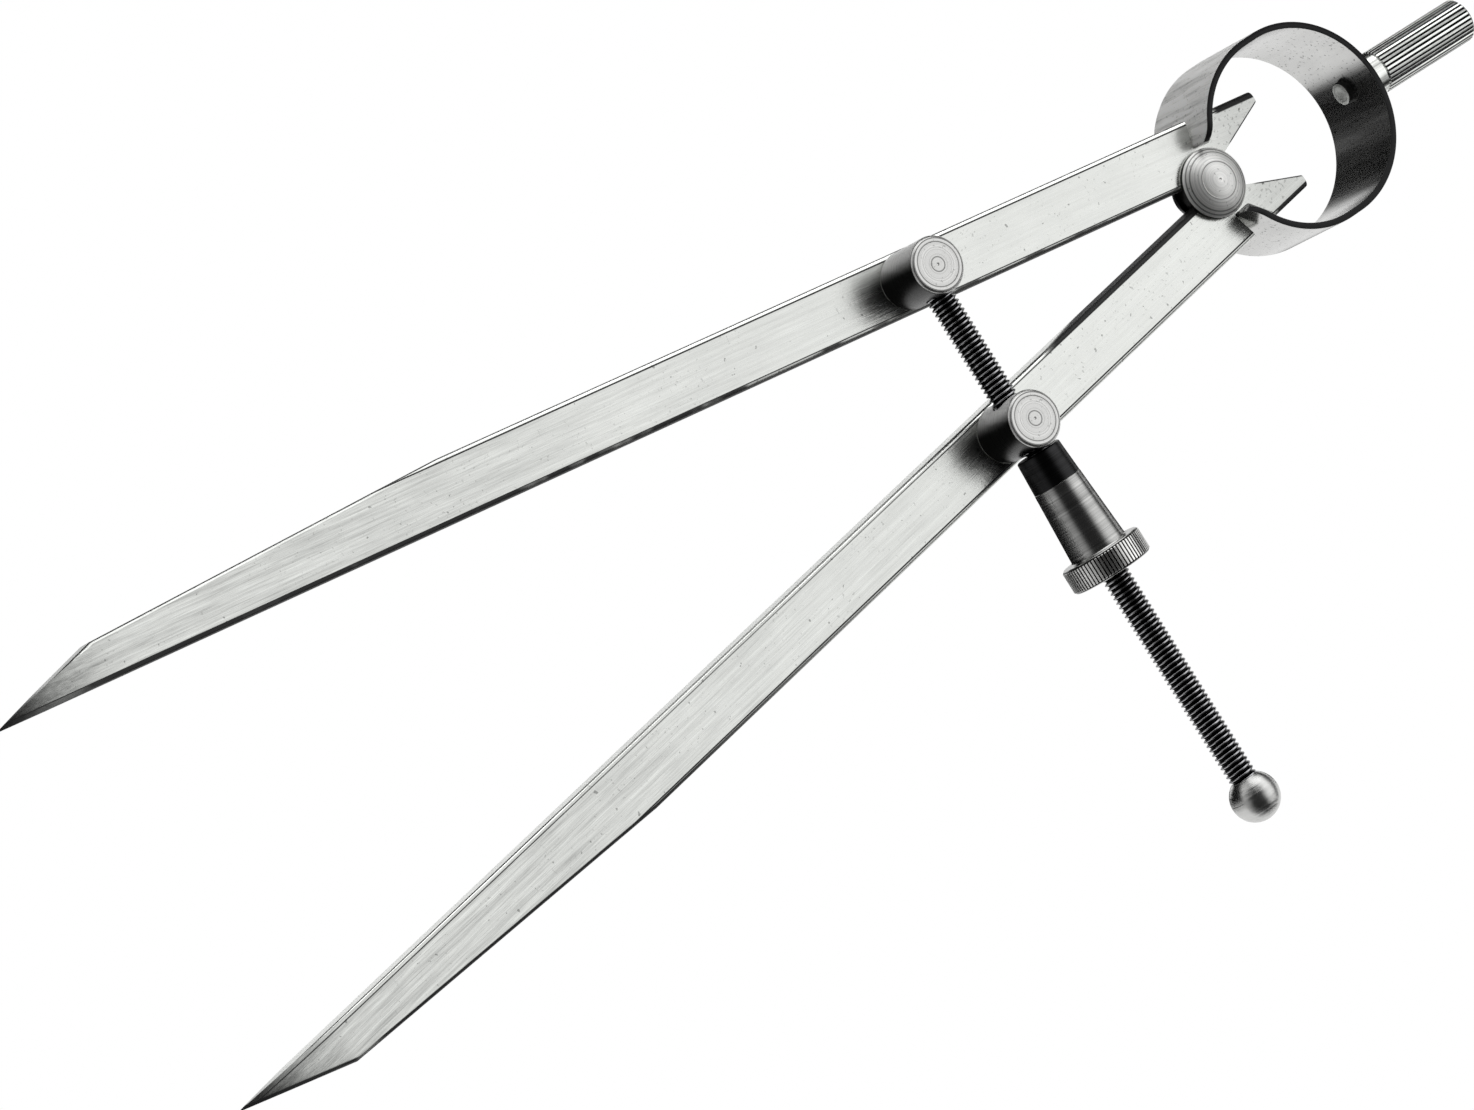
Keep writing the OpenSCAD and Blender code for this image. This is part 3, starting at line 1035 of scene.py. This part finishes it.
class DIVIDERS_OT_handle(bpy.types.Operator):
    """Models the fluted handle with its foot and its spigot inside the bow"""

    bl_idname = "dividers.handle"
    bl_label = "Handle"

    def execute(self, context):
        sizes = context.scene.divider_handle
        crest = sizes.diameter / 2
        c = context.scene.divider_knurl.chamfer
        s = sizes.spigot / 2
        inside = -context.scene.divider_bow.thickness - sizes.spigot_out
        foot = turned(
            "handle_fluted",
            [
                (0, inside + 0.12 * MM),
                (s * 0.3, inside + 0.1 * MM),
                (s * 0.55, inside + 0.02 * MM),
                (s * 0.78, inside),
                (s * 0.94, inside + 0.07 * MM),
                (s, inside + 0.2 * MM),
                (s, 0),
                (crest - 0.6 * c, 0),
                (crest, 0.6 * c),
                (crest, sizes.foot - 0.3 * c),
                (crest - 0.3 * c, sizes.foot),
                (0, sizes.foot),
            ],
        )
        bar = fluted(
            "flutes", sizes.diameter, sizes.reach - sizes.foot, sizes.flutes, fine=5
        )
        placed(bar, Matrix.Translation((0, 0, sizes.foot - 0.01 * MM)))
        bored(foot, bar, "UNION")
        place = (
            Matrix.Translation((0, BOW_HIGH.y, (BOW_LOW.z + BOW_HIGH.z) / 2))
            @ Matrix.Rotation(-sizes.lean, 4, "Z")
            @ Matrix.Rotation(-pi / 2, 4, "X")
        )
        placed(foot, place)
        smooth(foot, FLUTED_SHARP)
        steel = fluted_steel(place.translation, (-pi / 2, 0, -sizes.lean), sizes)
        finish(foot, steel, "head", "handle_stem")
        return {"FINISHED"}


class DIVIDERS_OT_fulcrum(bpy.types.Operator):
    """Models the fulcrum's domed stud"""

    bl_idname = "dividers.fulcrum"
    bl_label = "Fulcrum"

    def execute(self, context):
        sizes = context.scene.divider_pins
        r = (HEAD_HIGH.x - HEAD_LOW.x) / 2
        top = HEAD_HIGH.z
        rim_z = top - sizes.dome
        under = rim_z - sizes.rim
        dome_r = (r * r + sizes.dome**2) / (2 * sizes.dome)
        edge = 0.14 * MM
        step = 2.0 * MM
        sunk = 0.04 * MM

        def dome(x, sink=0.0):
            return (x, top - dome_r + sqrt(dome_r**2 - x * x) - sink)

        profile = [
            (0, 0),
            (sizes.rivet / 2, 0),
            (sizes.rivet / 2, sizes.washer),
            (sizes.barrel / 2, sizes.washer),
            (sizes.barrel / 2, under),
            (r - edge, under),
            (r, under + edge),
            (r, rim_z - 0.5 * edge),
        ]
        # A fine step goes round the dome, and a centre mark lies in its middle
        profile += [dome(r * (0.99 - 0.03 * i)) for i in range(14)]
        profile += [dome(step + 0.06 * MM), dome(step, 0.035 * MM)]
        profile += [dome(step * (0.95 - 0.1 * i), sunk) for i in range(9)]
        profile += [dome(0.16 * MM, sunk), dome(0.08 * MM, 0.12 * MM)]
        profile += [(0, profile[-1][1])]
        stud = turned("fulcrum_domed_stud", profile, steps=128)
        smooth(stud)
        steel = faced_steel(
            "ringed_steel",
            (0, 0, 0),
            tone=1.42,
            scale=6000,
            rough=0.42,
            outlines=(step + 0.03 * MM, r * 0.84, r * 0.93),
            satin=0.12,
        )
        finish(stud, steel, "head", "fulcrum_stud")
        return {"FINISHED"}


def make_post(name, centre, hole, hole_from, sizes):
    """A post with its face, barrel, shank and riveted end, and the screw's hole."""
    r = sizes.post / 2
    c = sizes.chamfer
    base = LEG_HIGH.z + CLEARANCE
    profile = [
        (0, 0),
        (sizes.rivet / 2 - 0.1 * MM, 0),
        (sizes.rivet / 2, 0.1 * MM),
        (sizes.rivet / 2, sizes.washer),
        (sizes.shank / 2, sizes.washer),
        (sizes.shank / 2, base),
        (r - 0.05 * MM, base),
        (r, base + 0.05 * MM),
        (r, FACE_Z - 1.3 * c),
        (r - c * 0.5, FACE_Z - 0.45 * c),
        (r - c * 0.85, FACE_Z - 0.1 * c),
        (r - c, FACE_Z),
        (0.16 * MM, FACE_Z),
        (0.08 * MM, FACE_Z - 0.1 * MM),
        (0, FACE_Z - 0.12 * MM),
    ]
    post = placed(turned(name, profile), Matrix.Translation((centre.x, centre.y, 0)))
    bored(post, rod(hole / 2, 0, 2 * sizes.post, along_screw(hole_from), sides=48))
    smooth(post)
    return post


class DIVIDERS_OT_posts(bpy.types.Operator):
    """Models both swivel posts"""

    bl_idname = "dividers.posts"
    bl_label = "Posts"

    def execute(self, context):
        sizes = context.scene.divider_pins
        snug = context.scene.divider_screw.diameter + 0.04 * MM
        left_at = Vector((-POST_AT.x, POST_AT.y, 0))
        border = sizes.post / 2 - sizes.chamfer - 0.06 * MM
        for side, at, hole, hole_from in (
            ("right", POST_AT, sizes.hole, POST_AT.x - sizes.post),
            ("left", left_at, snug, SCREW_START),
        ):
            post = make_post(f"post_{side}_turned", at, hole, hole_from, sizes)
            steel = faced_steel(
                "faced_steel_" + side,
                (at.x, at.y, 0),
                tone=1.02,
                scale=8200,
                rough=0.24,
                outlines=(border, border * 0.86, 0.77 * MM),
                lit_side=0.9,
            )
            finish(post, steel, side + "_post", "post_" + side)
        return {"FINISHED"}


class DIVIDERS_OT_washers(bpy.types.Operator):
    """Models the three back washers"""

    bl_idname = "dividers.washers"
    bl_label = "Washers"

    def execute(self, context):
        sizes = context.scene.divider_pins
        hole = sizes.rivet / 2 + 0.02 * MM
        t = sizes.washer
        e = 0.08 * MM
        steel = washer_steel()
        for node, body in (
            ("fulcrum_washer", "head"),
            ("post_left_washer", "left_post"),
            ("post_right_washer", "right_post"),
        ):
            low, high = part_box(node)
            r = (high.x - low.x) / 2
            ring = [(hole, 0), (r - e, 0), (r, e), (r, t - e), (r - e, t), (hole, t)]
            washer = turned(node + "_ring", [*ring, ring[0]], steps=72)
            at = middle(node)
            placed(washer, Matrix.Translation((at.x, at.y, low.z)))
            smooth(washer)
            finish(washer, steel, body, node)
        return {"FINISHED"}


class DIVIDERS_OT_screw(bpy.types.Operator):
    """Models the adjusting screw with its helical thread"""

    bl_idname = "dividers.screw"
    bl_label = "Adjusting screw"

    def execute(self, context):
        sizes = context.scene.divider_screw
        crest = sizes.diameter / 2
        root = crest - sizes.depth
        pitch = sizes.pitch
        run = BALL_LOW.x - SCREW_START
        flank = crest - 0.25 * sizes.depth
        shoulder = crest - 0.04 * sizes.depth
        shares = (
            (0, root),
            (0.1, root),
            (0.36, flank),
            (0.44, shoulder),
            (0.55, crest),
            (0.66, shoulder),
            (0.74, flank),
            (1, root),
        )
        points = [(r, 0, share * pitch) for share, r in shares]
        screw = point("adjusting_screw_threaded", points[0])
        draw(points)
        done()
        modified(
            screw,
            "SCREW",
            axis="Z",
            angle=2 * pi,
            screw_offset=pitch,
            iterations=ceil(run / pitch) + 2,
            steps=36,
            render_steps=36,
            use_merge_vertices=False,
            use_smooth_shade=True,
        )
        editing(screw)
        select_mesh()
        bpy.ops.mesh.remove_doubles(threshold=TINY)
        cut_off((0, 0, pitch), (0, 0, -1))
        cut_off((0, 0, pitch + run), (0, 0, 1))
        close_up()
        placed(screw, along_screw(SCREW_START - pitch))
        smooth(screw, sharp_from=50)
        steel = threaded_steel(root, crest)
        finish(screw, steel, "left_post", "adjusting_screw")
        return {"FINISHED"}


class DIVIDERS_OT_ball(bpy.types.Operator):
    """Models the ball end with its flat seat"""

    bl_idname = "dividers.ball"
    bl_label = "Ball end"

    def execute(self, context):
        r = (BALL_HIGH.y - BALL_LOW.y) / 2
        seat = BALL_LOW.x
        centre = BALL_HIGH.x - r
        start = pi - asin(sqrt(r * r - (centre - seat) ** 2) / r)
        fine = 44
        arc = [start * (1 - i / fine) for i in range(fine + 1)]
        profile = [(0, 0)]
        profile += [(r * sin(a), centre - seat + r * cos(a)) for a in arc]
        ball = turned("screw_ball_turned", profile)
        placed(ball, along_screw(seat))
        smooth(ball)
        steel = turned_steel(
            "ball_steel", colours().turned, tone=0.8, rough=0.16, scale=4200, cut=1.0
        )
        finish(ball, steel, "left_post", "screw_ball")
        return {"FINISHED"}


class DIVIDERS_OT_nut(bpy.types.Operator):
    """Models the long nut: its dark bush, its tapered sleeve and its knurled flange"""

    bl_idname = "dividers.nut"
    bl_label = "Nut"

    def execute(self, context):
        sizes = context.scene.divider_screw
        bore = sizes.bore / 2
        small, large = sizes.small / 2, sizes.large / 2
        bush = NUT_LOW.x - BUSH_LOW.x
        spigot = BUSH_HIGH.x - NUT_LOW.x
        meet = small + (large - small) * bush / (bush + sizes.sleeve)
        tight = 2.1 * MM
        edge = 0.12 * MM
        ring = [
            (bore, 0),
            (small - edge, 0),
            (small, edge),
            (meet - 0.02 * MM, bush - 0.02 * MM),
            (meet - 0.05 * MM, bush),
            (tight, bush),
            (tight, bush + spigot),
            (bore, bush + spigot),
        ]
        dark = turned("nut_bush_turned", [*ring, ring[0]])
        placed(dark, along_screw(BUSH_LOW.x))
        smooth(dark)

        # The sleeve takes the bush's spigot, and reaches into the flange to join it
        end = NUT_HIGH.x - NUT_LOW.x
        foot = large + 0.16 * MM
        joined = sizes.sleeve + 0.6 * MM
        socket = tight + 0.02 * MM
        ring = [
            (socket, 0),
            (meet - 0.04 * MM, 0),
            (meet, 0.04 * MM),
            (large - 0.02 * MM, sizes.sleeve - 0.3 * MM),
            (large + 0.04 * MM, sizes.sleeve - 0.12 * MM),
            (foot, sizes.sleeve),
            (foot, joined),
            (bore, joined),
            (bore, spigot + 0.02 * MM),
            (socket, spigot + 0.02 * MM),
        ]
        sleeve = turned("nut_sleeve_turned", [*ring, ring[0]])
        flange = fluted(
            "flange", sizes.flange, end - sizes.sleeve, sizes.flutes, fine=4
        )
        placed(flange, Matrix.Translation((0, 0, sizes.sleeve)))
        bored(flange, rod(bore, -MM, end + MM, sides=96))
        bored(sleeve, flange, "UNION")
        placed(sleeve, along_screw(NUT_LOW.x))
        smooth(sleeve, FLUTED_SHARP)
        steel = sleeve_steel(sizes, context.scene.divider_knurl.depth)
        finish(sleeve, steel, "nut", "nut_sleeve")
        black = turned_steel(
            "black_bush_steel",
            colours().black,
            tone=-0.02,
            rough=0.2,
            scale=6000,
            cut=0.2,
        )
        finish(dark, black, "nut", "nut_bush")
        return {"FINISHED"}


# Stage


class DIVIDERS_OT_stage(bpy.types.Operator):
    """Sets up the floor, the soft studio light and the camera"""

    bl_idname = "dividers.stage"
    bl_label = "Stage"

    def execute(self, context):
        make_floor()
        make_light()
        make_camera()
        context.scene.view_settings.view_transform = "Standard"
        return {"FINISHED"}


def make_floor():
    """A pale sweep well below the dividers, which shows white and takes their shadow.

    Metal sees it white too, apart from a dark stretch between and beyond two cards.
    """
    select_nothing()
    bpy.ops.mesh.primitive_circle_add(
        vertices=96, radius=6, fill_type="NGON", location=(0, 0, FLOOR_Z)
    )
    apply_place()
    floor = named("floor")
    pale = Steel("pale_floor")
    rays = pale.node("LightPath", output="Is Camera Ray")
    kinds = rays.socket.node.outputs
    glossy = Value(pale, kinds["Is Glossy Ray"])
    through = Value(pale, kinds["Is Transmission Ray"])
    right_card = pale.x.span(55, 100)
    left_card = pale.x.span(20, -5) * (1 - pale.x.span(-100, -125))
    left_card = left_card * pale.y.span(-90, -50)
    unlit = (1 - right_card) * (1 - left_card)

    def glow(strength):
        values = {"Color": (1, 1, 1, 1), "Strength": strength}
        return pale.node("Emission", inputs=values)

    def blend(share, first, second):
        return pale.node("MixShader", inputs={0: share, 1: first, 2: second})

    white = blend(glossy * unlit, glow(1.0), glow(0.008))
    values = {"Base Color": (*colours().floor, 1), "Roughness": 0.9}
    paper = pale.node("BsdfPrincipled", inputs=values)
    above = blend(rays.highest(through).highest(glossy), paper, white)
    below = pale.node("NewGeometry", output="Backfacing")
    surface = blend(below, above, pale.node("BsdfTransparent"))
    pale.node("OutputMaterial", inputs={"Surface": surface})
    floor.data.materials.append(pale.material)


def make_light():
    """A studio sky: a wide soft light over the handle's side, dark round the camera."""
    world = bpy.data.worlds.new("studio")
    bpy.context.scene.world = world
    sky = Nodes(world)
    way = sky.node("TexCoord", output="Generated")

    def lobe(towards, inner, outer):
        """1 in a cone of directions, falling to 0 over its soft rim, in degrees."""
        aim = sky.node(
            "VectorMath",
            {"operation": "DOT_PRODUCT"},
            {0: way, 1: Vector(towards).normalized()},
            output="Value",
        )
        return aim.between(cos(radians(outer)), cos(radians(inner)))

    height = sky.node("SeparateXYZ", inputs={"Vector": way}, output="Z")
    main = lobe((0.1, 0.75, 0.66), 8, 50) * height.between(0.12, 0.5)
    low_front = lobe((0.05, -1.0, -0.02), 8, 40)
    low_side = lobe((-0.82, -0.55, 0.0), 8, 38)
    low_left = lobe((-0.87, 0.42, 0.2), 10, 46)
    level = 0.03 + main * 1.3 + low_front * 0.5 + low_side * 0.95 + low_left * 1.9
    light = sky.node("Background", inputs={"Color": (1, 1, 1, 1), "Strength": level})
    sky.node("OutputWorld", inputs={"Surface": light})


def make_camera():
    """The camera, at the photograph's angle and with its long lens."""
    at = Vector((-40.8518, -440.3277, 665.4659)) * MM
    turn = Euler([radians(degrees) for degrees in (13.9705, -26.0403, 53.508)])
    select_nothing()
    bpy.ops.object.camera_add(location=at, rotation=turn)
    camera = bpy.context.active_object
    camera.data.sensor_fit = "HORIZONTAL"
    camera.data.sensor_width = 36
    camera.data.lens = 186.004
    camera.data.clip_start = 0.01
    camera.data.clip_end = 20
    bpy.context.scene.camera = camera


OPERATORS = (
    DIVIDERS_OT_legs,
    DIVIDERS_OT_bow,
    DIVIDERS_OT_handle,
    DIVIDERS_OT_fulcrum,
    DIVIDERS_OT_posts,
    DIVIDERS_OT_washers,
    DIVIDERS_OT_screw,
    DIVIDERS_OT_ball,
    DIVIDERS_OT_nut,
    DIVIDERS_OT_stage,
)


class DIVIDERS_PT_pieces(bpy.types.Panel):
    """Lists the dividers' pieces"""

    bl_idname = "DIVIDERS_PT_pieces"
    bl_label = "Bow-Spring Dividers"
    bl_space_type = "VIEW_3D"
    bl_region_type = "UI"
    bl_category = "Dividers"

    def draw(self, context):
        for operator in OPERATORS:
            self.layout.operator(operator.bl_idname)


def register():
    for name, group in GROUPS.items():
        bpy.utils.register_class(group)
        setattr(bpy.types.Scene, name, bpy.props.PointerProperty(type=group))
    for operator in OPERATORS:
        bpy.utils.register_class(operator)
    bpy.utils.register_class(DIVIDERS_PT_pieces)


def unregister():
    bpy.utils.unregister_class(DIVIDERS_PT_pieces)
    for operator in reversed(OPERATORS):
        bpy.utils.unregister_class(operator)
    for name, group in reversed(GROUPS.items()):
        delattr(bpy.types.Scene, name)
        bpy.utils.unregister_class(group)


def main():
    register()
    bpy.ops.dividers.legs()
    bpy.ops.dividers.bow()
    bpy.ops.dividers.handle()
    bpy.ops.dividers.fulcrum()
    bpy.ops.dividers.posts()
    bpy.ops.dividers.washers()
    bpy.ops.dividers.screw()
    bpy.ops.dividers.ball()
    bpy.ops.dividers.nut()
    bpy.ops.dividers.stage()
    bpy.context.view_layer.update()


if __name__ == "__main__":
    main()
